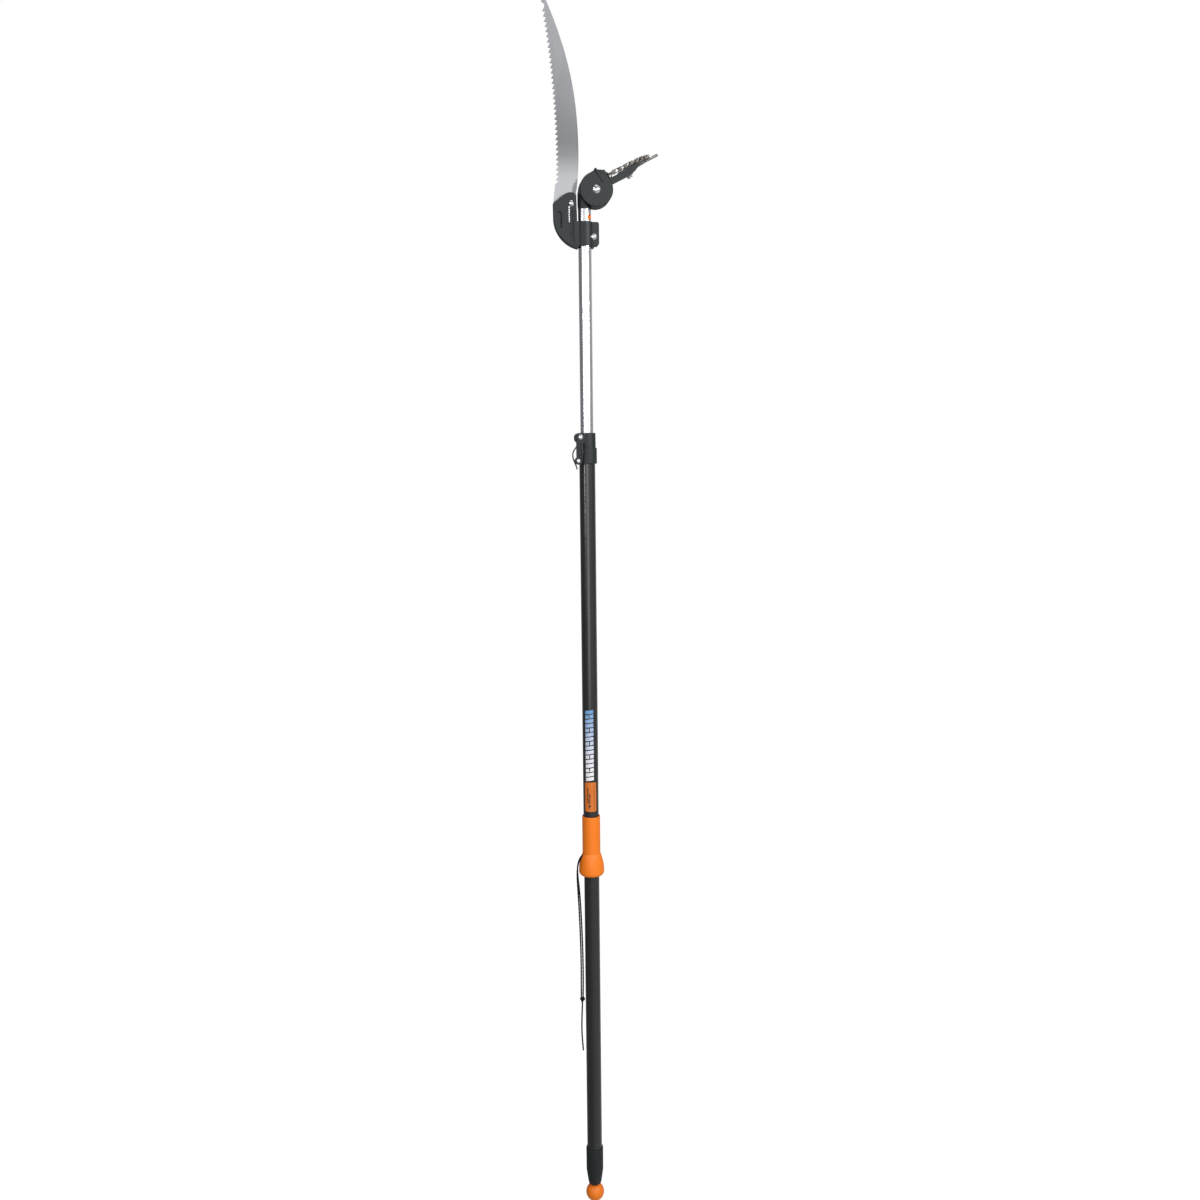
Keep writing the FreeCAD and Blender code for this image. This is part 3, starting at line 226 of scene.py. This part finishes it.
SLOT_MATERIALS = {
    "pole_black": surface("painted_tube", (0.014, 0.0145, 0.0155), 0.36, grain=700,
                          stretch=(1, 1, 0.05), tone=0.12, spread=0.015, depth=0.0005, edge=0.0,
                          coat=0.5,
                          gloss=by_height(-1.3, 0.31, [(-1.3, 1.0), (-0.6, 0.92), (-0.3, 0.72),
                                                       (0.31, 0.55)])),
    "pole_silver": surface("bright_tube", (0.80, 0.80, 0.84), 0.27, metallic=1.0, grain=1400,
                           stretch=(1, 1, 0.012), tone=0.04, spread=0.012, depth=0.0004,
                           smudge_tone=0.03, edge=0.0),
    "black_plastic": surface("moulded_black", CHARCOAL, 0.52, grain=1500, tone=0.16, depth=0.03,
                             specular=0.36),
    "orange_plastic": surface("moulded_orange", ORANGE, 0.45, grain=800, tone=0.03, depth=0.008,
                              smudge_tone=0.02, coat=0.05),
    "nylon": surface("nylon", (0.10, 0.10, 0.10), 0.45, grain=900, depth=0.01),
    "zinc_steel": surface("zinc_plate", (0.80, 0.81, 0.83), 0.2, metallic=1.0, grain=600,
                          tone=0.06, depth=0.004, smudge=60, smudge_tone=0.1, edge=0.2),
    "spring_steel": surface("spring_wire", (0.42, 0.42, 0.43), 0.32, metallic=1.0, grain=1500,
                            depth=0.006, edge=0.1),
    "chain_steel": surface("chain_nickel", (0.17, 0.155, 0.135), 0.52, metallic=0.7, grain=420,
                           tone=0.35, spread=0.12, depth=0.015, smudge=120, smudge_tone=0.35,
                           edge=0.2),
    "blade_steel": surface("ground_steel", (0.20, 0.197, 0.187), 0.5, metallic=0.7, grain=900,
                           stretch=(1, 1, 0.02), tone=0.12, spread=0.06, depth=0.006,
                           smudge_tone=0.08, edge=0.15),
    "label_film": surface("label_film", (0.68, 0.175, 0.018), 0.33, grain=900, tone=0.05,
                          depth=0.004, coat=0.3, edge=0.1),
    "black_cord": surface("black_braid", (0.007, 0.007, 0.008), 0.78, grain=2600, tone=0.3,
                          depth=0.08, edge=0.1, specular=0.25),
    "white_rope": surface("pale_braid", (0.58, 0.56, 0.50), 0.75, grain=2600, tone=0.2, depth=0.08,
                          edge=0.1),
}

for subpart in frame["record"]["subparts"]:
    carried = frame["nodes"][subpart["node"]]
    carried.data.materials.clear()
    carried.data.materials.append(SLOT_MATERIALS[subpart["material_slot"]])

# Painted reflection and shade: the blade's colour is darkest from about 0.84 to 0.95 m up and
# lighter above and below. This stands in for the reflection of dark surroundings and is not a mark
# in the steel.
saw_steel_painted_shade = surface("saw_steel_painted_shade", (0.53, 0.54, 0.56), 0.48, metallic=0.4, grain=900,
                    stretch=(1, 1, 0.02), tone=0.10, spread=0.05, depth=0.006, smudge_tone=0.06,
                    edge=0.15,
                    shade=by_height(0.74, 1.13, [(0.74, 0.85), (0.80, 0.70), (0.82, 0.56),
                                                 (0.84, 0.40), (0.865, 0.32), (0.90, 0.36),
                                                 (0.95, 0.47), (1.13, 0.66)]))
frame["nodes"]["saw_blade"].data.materials[0] = saw_steel_painted_shade


# ---------------------------------------------------------------- cords

def spline_points(route):
    """Points along the smooth curve that has the route as its control points."""
    data = bpy.data.curves.new("route", "CURVE")
    data.dimensions = "3D"
    spline = data.splines.new("NURBS")
    spline.points.add(len(route) - 1)
    for point, place in zip(spline.points, route):
        point.co = (*place, 1)
    spline.order_u = 3
    spline.use_endpoint_u = True
    spline.resolution_u = 24
    curve = linked("route", data)
    bpy.context.view_layer.update()
    line = bpy.data.meshes.new_from_object(curve)
    points = [vertex.co.copy() for vertex in line.vertices]
    bpy.data.objects.remove(curve)
    return points


def even_points(points, step):
    """The same line with its points a step apart."""
    lengths = [0.0]
    for first, second in zip(points, points[1:]):
        lengths.append(lengths[-1] + (second - first).length)
    count = max(2, round(lengths[-1] / step))
    made = []
    index = 0
    for k in range(count + 1):
        at = lengths[-1] * k / count
        while index < len(points) - 2 and lengths[index + 1] < at:
            index += 1
        gap = lengths[index + 1] - lengths[index]
        share = (at - lengths[index]) / gap if gap else 0.0
        made.append(points[index].lerp(points[index + 1], share))
    return made


def smooth_object(name, vertices, faces, material):
    data = bpy.data.meshes.new(name)
    data.from_pydata([tuple(v) for v in vertices], [], faces)
    data.materials.append(material)
    data.polygons.foreach_set("use_smooth", [True] * len(data.polygons))
    data.validate()
    return linked(name, data)


BRAID_SIDES = 24
BRAID_STRANDS = 4
BRAID_RELIEF = 0.12
BRAID_STEP = 0.28
BRAID_LAY = 5


def braided_tube(name, points, radius, material, lay_length=None, closed=False):
    """Tube whose surface has the crossing ridges of a round braid.

    BRAID_RELIEF, BRAID_STEP and BRAID_LAY are shares of the radius.
    """
    lay = lay_length or radius * BRAID_LAY
    line = even_points(points, radius * BRAID_STEP)
    if closed:
        line = line[:-1]
    count = len(line)
    tangents = []
    for k in range(count):
        before = line[k - 1] if k or closed else line[0]
        after = line[(k + 1) % count] if k < count - 1 or closed else line[-1]
        tangents.append((after - before).normalized())
    side = tangents[0].orthogonal().normalized()
    vertices = []
    for k, (centre, tangent) in enumerate(zip(line, tangents)):
        side = (side - tangent * side.dot(tangent)).normalized()
        across = tangent.cross(side)
        phase = 2 * math.pi * k * radius * BRAID_STEP / lay
        for s in range(BRAID_SIDES):
            angle = 2 * math.pi * s / BRAID_SIDES
            ridge = max(math.cos(BRAID_STRANDS * angle + phase),
                        math.cos(BRAID_STRANDS * angle - phase))
            reach = radius * (1 - BRAID_RELIEF * (1 - ridge) / 2)
            vertices.append(centre + (side * math.cos(angle) + across * math.sin(angle)) * reach)
    faces = []
    for k in range(count if closed else count - 1):
        here = k * BRAID_SIDES
        there = (k + 1) % count * BRAID_SIDES
        for s in range(BRAID_SIDES):
            following = (s + 1) % BRAID_SIDES
            faces.append((here + s, here + following, there + following, there + s))
    if not closed:
        faces.append(tuple(reversed(range(BRAID_SIDES))))
        faces.append(tuple(range((count - 1) * BRAID_SIDES, count * BRAID_SIDES)))
    return smooth_object(name, vertices, faces, material)


def in_metres(route):
    return [Vector(point) * MM for point in route]


LEVER_CORD = in_metres([(-23.2, -19.0, 284.6), (-29.0, -18.8, 278.4), (-31.9, -17.4, 268.0),
                        (-29.6, -15.4, 258.2), (-25.2, -14.6, 249.2), (-22.3, -15.6, 239.6)])
STRAND_A = in_metres([(-18.6, -4.1, -560.9), (-25.0, -4.5, -567.5), (-30.6, -4.5, -584.0),
                      (-31.6, -4.2, -607.0), (-30.0, -3.9, -640.0), (-27.6, -3.7, -690.0),
                      (-25.8, -3.7, -748.0), (-25.0, -3.3, -806.0), (-25.5, -2.6, -850.0),
                      (-25.3, -2.0, -876.0)])
STRAND_B = in_metres([(-18.6, 0.0, -561.0), (-25.2, 0.0, -568.0), (-30.2, 0.0, -584.5),
                      (-29.8, -0.3, -607.0), (-26.3, -0.7, -640.0), (-23.6, -1.0, -690.0),
                      (-21.7, -1.4, -748.0), (-20.7, -1.2, -806.0), (-21.0, -1.0, -850.0),
                      (-21.6, -1.4, -876.0)])
TAIL = in_metres([(-23.2, -1.6, -886.0), (-24.0, -1.9, -906.0), (-25.4, -1.7, -940.0),
                  (-24.4, -1.2, -972.0), (-22.4, -1.4, -996.0)])
CORD_R = 1.65 * MM
LEVER_CORD_R = 1.3 * MM
KNOT_STEPS = 180
KNOT_DEPTH = 0.95
cord_black = SLOT_MATERIALS["black_cord"]


def overhand_knot():
    """Trefoil of cord in the XZ plane, which is what an overhand knot pulls down to."""
    low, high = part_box("cord_knot")
    centre = (low + high) / 2
    unit = (high.x - low.x) / 2 - CORD_R
    loops = []
    for k in range(KNOT_STEPS + 1):
        t = 2 * math.pi * k / KNOT_STEPS
        across = math.sin(t) + 2 * math.sin(2 * t)
        upright = math.cos(t) - 2 * math.cos(2 * t)
        flat = Vector((across, 0, upright)) / 3
        weave = Vector((0, -math.sin(3 * t), 0)) * CORD_R * KNOT_DEPTH
        loops.append(centre + flat * unit + weave)
    knot = braided_tube("strand_knot", loops, CORD_R, cord_black, closed=True)
    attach(knot, "grip")
    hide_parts("cord_knot")
    return knot


def free_cord(name, node, body, route, radius):
    """Limp braided cord along a route, in place of a node of the CAD."""
    points = spline_points(route)
    made = braided_tube(name, points, radius, cord_black)
    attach(made, body)
    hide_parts(node)


knot = overhand_knot()
free_cord("strand_a", "cord_strand_a", "grip", STRAND_A, CORD_R)
free_cord("strand_b", "cord_strand_b", "grip", STRAND_B, CORD_R)
free_cord("strand_tail", "cord_tail", "grip", TAIL, CORD_R)
free_cord("lever_loop", "lever_cord", "clamp_lever", LEVER_CORD, LEVER_CORD_R)

ROPE_LAY = 9 * MM


def pull_rope():
    """Braided rope from the traveller down to the ball; the grip's stroke brings it into view."""
    low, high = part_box("ball_rope")
    centre = (low + high) / 2
    ends = [Vector((centre.x, centre.y, low.z)), Vector((centre.x, centre.y, high.z))]
    rope = braided_tube("ball_braid", ends, (high.x - low.x) / 2, SLOT_MATERIALS["white_rope"],
                        lay_length=ROPE_LAY)
    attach(rope, "pull_ball")
    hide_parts("ball_rope")


pull_rope()


# ---------------------------------------------------------------- printed marks

PRINT_THICKNESS = 0.04 * MM
PRINT_COLUMNS = 10
WELD = 1e-7


def wrapped_print(name, quads, radius, facing, material, body):
    """Ink on a tube. Each quad has four (across, height) corners.

    facing is the angle from -Y towards -X at which across is zero.
    """
    low_side = []
    high_side = []
    faces = []
    for quad in quads:
        bottom_left, bottom_right, top_right, top_left = [Vector(corner) for corner in quad]
        first = len(low_side)
        for column in range(PRINT_COLUMNS + 1):
            share = column / PRINT_COLUMNS
            for start, end in ((bottom_left, bottom_right), (top_left, top_right)):
                across, height = start.lerp(end, share)
                angle = facing - across / radius
                outward = Vector((-math.sin(angle), -math.cos(angle), 0))
                rise = Vector((0, 0, height))
                low_side.append(outward * radius + rise)
                high_side.append(outward * (radius + PRINT_THICKNESS) + rise)
        for column in range(PRINT_COLUMNS):
            a = first + 2 * column
            faces.append((a, a + 2, a + 3, a + 1))
    data = bmesh.new()
    inner = [data.verts.new(v) for v in low_side]
    outer = [data.verts.new(v) for v in high_side]
    for a, b, c, d in faces:
        data.faces.new((outer[a], outer[b], outer[c], outer[d]))
        data.faces.new((inner[d], inner[c], inner[b], inner[a]))
    for quad_index in range(len(quads)):
        first = quad_index * 2 * (PRINT_COLUMNS + 1)
        bottom = list(range(first, first + 2 * (PRINT_COLUMNS + 1), 2))
        top = [k + 1 for k in bottom]
        for k in range(PRINT_COLUMNS):
            data.faces.new((inner[bottom[k]], inner[bottom[k + 1]],
                            outer[bottom[k + 1]], outer[bottom[k]]))
            data.faces.new((outer[top[k]], outer[top[k + 1]], inner[top[k + 1]], inner[top[k]]))
        data.faces.new((inner[top[0]], inner[bottom[0]], outer[bottom[0]], outer[top[0]]))
        data.faces.new((inner[bottom[-1]], inner[top[-1]], outer[top[-1]], outer[bottom[-1]]))
    bmesh.ops.remove_doubles(data, verts=data.verts, dist=WELD)
    bmesh.ops.recalc_face_normals(data, faces=data.faces)
    made = bmesh_object(name, data, material)
    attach(made, body)


def tube_radius(node):
    low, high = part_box(node)
    return (high.x - low.x) / 2


def box_quad(left, right, bottom, top, slant=0.0):
    """Upright patch whose right side stands higher by slant; millimetres to metres."""
    corners = ((left, bottom), (right, bottom + slant), (right, top + slant), (left, top))
    return [(a * MM, b * MM) for a, b in corners]


FRONT_FACING = CAMERA_AZIMUTH
LABEL_FACING = math.radians(10.8)
PRINT_GAP = 0.01 * MM
LABEL_THICKNESS = 0.15 * MM
OUTER_PRINT_R = tube_radius("outer_pole_tube") + PRINT_GAP
INNER_PRINT_R = tube_radius("inner_pole_tube") + PRINT_GAP
LABEL_PRINT_R = OUTER_PRINT_R + LABEL_THICKNESS

# Sizes of the prints from here on are in millimetres.
MARK_BOTTOM = -399.5
MARK_PITCH = 9.4
MARK_COUNT = 16
MARK_LEFT = -10.6
MARK_RIGHT = 6.8
MARK_BAR = 7.2
MARK_SLANT = 2.5
MARK_SPLIT = (-2.8, -0.8)
MARK_SPLIT_SLANT = 1.1
MARK_SPLIT_RISE = 1.4


def mark_quads():
    """Dense run of slanted bars, every third one broken in two."""
    quads = []
    for k in range(MARK_COUNT):
        bottom = MARK_BOTTOM + MARK_PITCH * k
        top = bottom + MARK_BAR
        if k % 3 == 2:
            quads.append(box_quad(MARK_LEFT, MARK_SPLIT[0], bottom, top, MARK_SPLIT_SLANT))
            quads.append(box_quad(MARK_SPLIT[1], MARK_RIGHT, bottom + MARK_SPLIT_RISE,
                                  top + MARK_SPLIT_RISE, MARK_SPLIT_SLANT))
        else:
            quads.append(box_quad(MARK_LEFT, MARK_RIGHT, bottom, top, MARK_SLANT))
    return quads


INK_ROUGHNESS = (0.32, 0.48)


def print_ink(name, colour, top_colour=None, low=0.0, high=1.0):
    """Ink with fine speckle; with top_colour it runs from colour at low to top_colour at high."""
    made, tree = new_material(name)
    place = add(tree, "ShaderNodeTexCoord").outputs["Object"]
    speckle = noise(tree, place, 2400)
    height = add(tree, "ShaderNodeSeparateXYZ", [(0, place)]).outputs["Z"]
    share = span(tree, height, low, high)
    base = mix_colour(tree, share, rgba(colour), rgba(top_colour or colour))
    specks = ramp(tree, speckle, [(0.35, 0.0), (0.65, 1.0)])
    toned = mix_colour(tree, 0.12, base, specks, "OVERLAY")
    rough = span(tree, speckle, 0.3, 0.7, *INK_ROUGHNESS)
    shader = add(tree, "ShaderNodeBsdfPrincipled", [("Base Color", toned), ("Roughness", rough)])
    add(tree, "ShaderNodeOutputMaterial", [("Surface", shader.outputs[0])])
    return made


mark_ink = print_ink("mark_ink", (0.85, 0.83, 0.87), top_colour=(0.13, 0.33, 0.62), low=-0.37,
                     high=-0.25)
wrapped_print("pole_mark", mark_quads(), OUTER_PRINT_R, FRONT_FACING, mark_ink, "outer_pole")

dark_ink = print_ink("dark_ink", (0.03, 0.022, 0.018))
LABEL_RULE = (7.6, 8.2, -458.5, -408.5)
LABEL_TEXT_ROWS = [(-7.2, -4.4, -446.5, -415.5), (-3.2, -0.4, -448.5, -426.5)]
LABEL_DASH = 2.9
LABEL_SHORT_DASH = 1.8
LABEL_DASH_GAP = 0.9
LABEL_ARROW = [(-2.4, -458.6), (-2.4, -458.6), (1.6, -450.8), (-6.4, -450.8)]


def label_quads():
    """A thin rule at the right, two rows of dashes and an arrow that points down."""
    quads = [box_quad(*LABEL_RULE)]
    for left, right, bottom, top in LABEL_TEXT_ROWS:
        height = bottom
        dash = 0
        while height < top:
            size = LABEL_DASH if dash % 3 else LABEL_SHORT_DASH
            quads.append(box_quad(left, right, height, height + size))
            height += size + LABEL_DASH_GAP
            dash += 1
    quads.append([(a * MM, b * MM) for a, b in LABEL_ARROW])
    return quads


wrapped_print("label_marks", label_quads(), LABEL_PRINT_R, LABEL_FACING, dark_ink, "outer_pole")

TICK_WIDTHS = (5.5, 3.2, 4.4, 3.0, 4.8, 2.6)
TICK_LEFT = 4.6
TICK_BOTTOM = 663.0
TICK_PITCH = 4.2
TICK_HEIGHT = 1.6
TICK_SLANT = 0.6


def tick_quads():
    """Short marks under the saw's clamp."""
    quads = []
    for k, width in enumerate(TICK_WIDTHS):
        bottom = TICK_BOTTOM - TICK_PITCH * k
        quads.append(box_quad(TICK_LEFT, TICK_LEFT + width, bottom, bottom + TICK_HEIGHT,
                              TICK_SLANT))
    return quads


grey_ink = print_ink("grey_ink", (0.10, 0.10, 0.11))
wrapped_print("tube_ticks", tick_quads(), INNER_PRINT_R, FRONT_FACING, grey_ink, "inner_pole")

HOLDER_FACE = -10.0
HOLDER_MARK_X = (-32.3, -30.0)
HOLDER_MARK_TOP = 744.0
HOLDER_MARK_SIZES = (4.2, 3.0, 4.2, 2.4, 3.0, 3.0, 2.4)
HOLDER_MARK_GAP = 1.2


def holder_marks():
    """Column of white dashes printed on the holder's front face."""
    across = sum(HOLDER_MARK_X) / 2 * MM
    width = (HOLDER_MARK_X[1] - HOLDER_MARK_X[0]) * MM
    front = HOLDER_FACE * MM - PRINT_THICKNESS
    data = bmesh.new()
    top = HOLDER_MARK_TOP
    for size in HOLDER_MARK_SIZES:
        dash = bmesh.ops.create_cube(data, size=1.0)["verts"]
        bmesh.ops.scale(data, verts=dash, vec=(width, PRINT_THICKNESS, size * MM))
        bmesh.ops.translate(data, verts=dash, vec=(across, front, (top - size / 2) * MM))
        top -= size + HOLDER_MARK_GAP
    made = bmesh_object("holder_marks", data, print_ink("white_ink", (0.80, 0.82, 0.84)))
    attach(made, "inner_pole")


holder_marks()


# ---------------------------------------------------------------- floor, world and lights

FLOOR_RADIUS = 30.0
FLOOR_DROP = 0.2 * MM
FLOOR_GREYS = (0.078, 0.082)
FLOOR_GLOW = 0.97
STUDIO_STRENGTH = 0.56
STUDIO_LEVELS = [(0.0, 0.30), (0.3, 0.42), (0.62, 0.85), (0.88, 0.95), (1.0, 0.5)]
WHITE = (1, 1, 1, 1)


def make_floor():
    """Disc that shines by itself, so that it looks white and carries only faint shadows."""
    pale, tree = new_material("pale_floor")
    place = add(tree, "ShaderNodeTexCoord").outputs["Object"]
    first, second = [(grey, grey, grey, 1) for grey in FLOOR_GREYS]
    tint = mix_colour(tree, noise(tree, place, 4), first, second)
    shader = add(tree, "ShaderNodeBsdfPrincipled", [("Base Color", tint), ("Roughness", 0.8),
                                                    ("Emission Color", WHITE),
                                                    ("Emission Strength", FLOOR_GLOW)])
    add(tree, "ShaderNodeOutputMaterial", [("Surface", shader.outputs[0])])
    data = bmesh.new()
    bmesh.ops.create_circle(data, cap_ends=True, segments=96, radius=FLOOR_RADIUS)
    floor = bmesh_object("floor", data, pale)
    floor.location = (0, 0, cad_low.z - FLOOR_DROP)
    floor.visible_diffuse = False
    floor.visible_glossy = False


def make_world():
    """Pale backdrop for the eye; the object is lit by a studio that is greyer at its sides."""
    world = bpy.data.worlds.new("studio")
    bpy.context.scene.world = world
    world.use_nodes = True
    tree = world.node_tree
    tree.nodes.clear()
    direction = add(tree, "ShaderNodeTexCoord").outputs["Generated"]
    axes = add(tree, "ShaderNodeSeparateXYZ", [(0, direction)])
    sideways = ramp(tree, span(tree, axes.outputs["X"], -1.0, 1.0), STUDIO_LEVELS)
    lit = add(tree, "ShaderNodeBackground", [("Color", sideways),
                                             ("Strength", STUDIO_STRENGTH)]).outputs[0]
    seen = add(tree, "ShaderNodeBackground", [("Color", WHITE), ("Strength", 1.0)]).outputs[0]
    eye = add(tree, "ShaderNodeLightPath").outputs["Is Camera Ray"]
    both = add(tree, "ShaderNodeMixShader", [(0, eye), (1, lit), (2, seen)])
    add(tree, "ShaderNodeOutputWorld", [("Surface", both.outputs[0])])


def soft_box(name, place, target, width, height, power, tint=(1, 1, 1)):
    """Rectangular light at place, turned to target; power is in watts."""
    data = bpy.data.lights.new(name, "AREA")
    data.shape = "RECTANGLE"
    data.size = width
    data.size_y = height
    data.energy = power
    data.color = tint
    light = linked(name, data)
    light.location = place
    light.rotation_euler = (Vector(target) - Vector(place)).to_track_quat("-Z", "Y").to_euler()
    light.visible_camera = False


make_floor()
make_world()
soft_box("strip_left", (-1.65, -1.46, 0.95), (0, 0, 0.7), 0.16, 1.9, 18, (0.95, 0.94, 1.0))
soft_box("key_right", (1.45, -2.0, 1.15), (0, 0, 0.6), 0.22, 0.5, 44)
soft_box("fill_front", (-0.6, -3.6, 0.1), (0, 0, -0.4), 2.4, 2.4, 36)
soft_box("top", (0.2, 0.3, 3.2), (0, 0, 0), 1.6, 1.6, 16)
bpy.context.scene.view_settings.view_transform = "Standard"
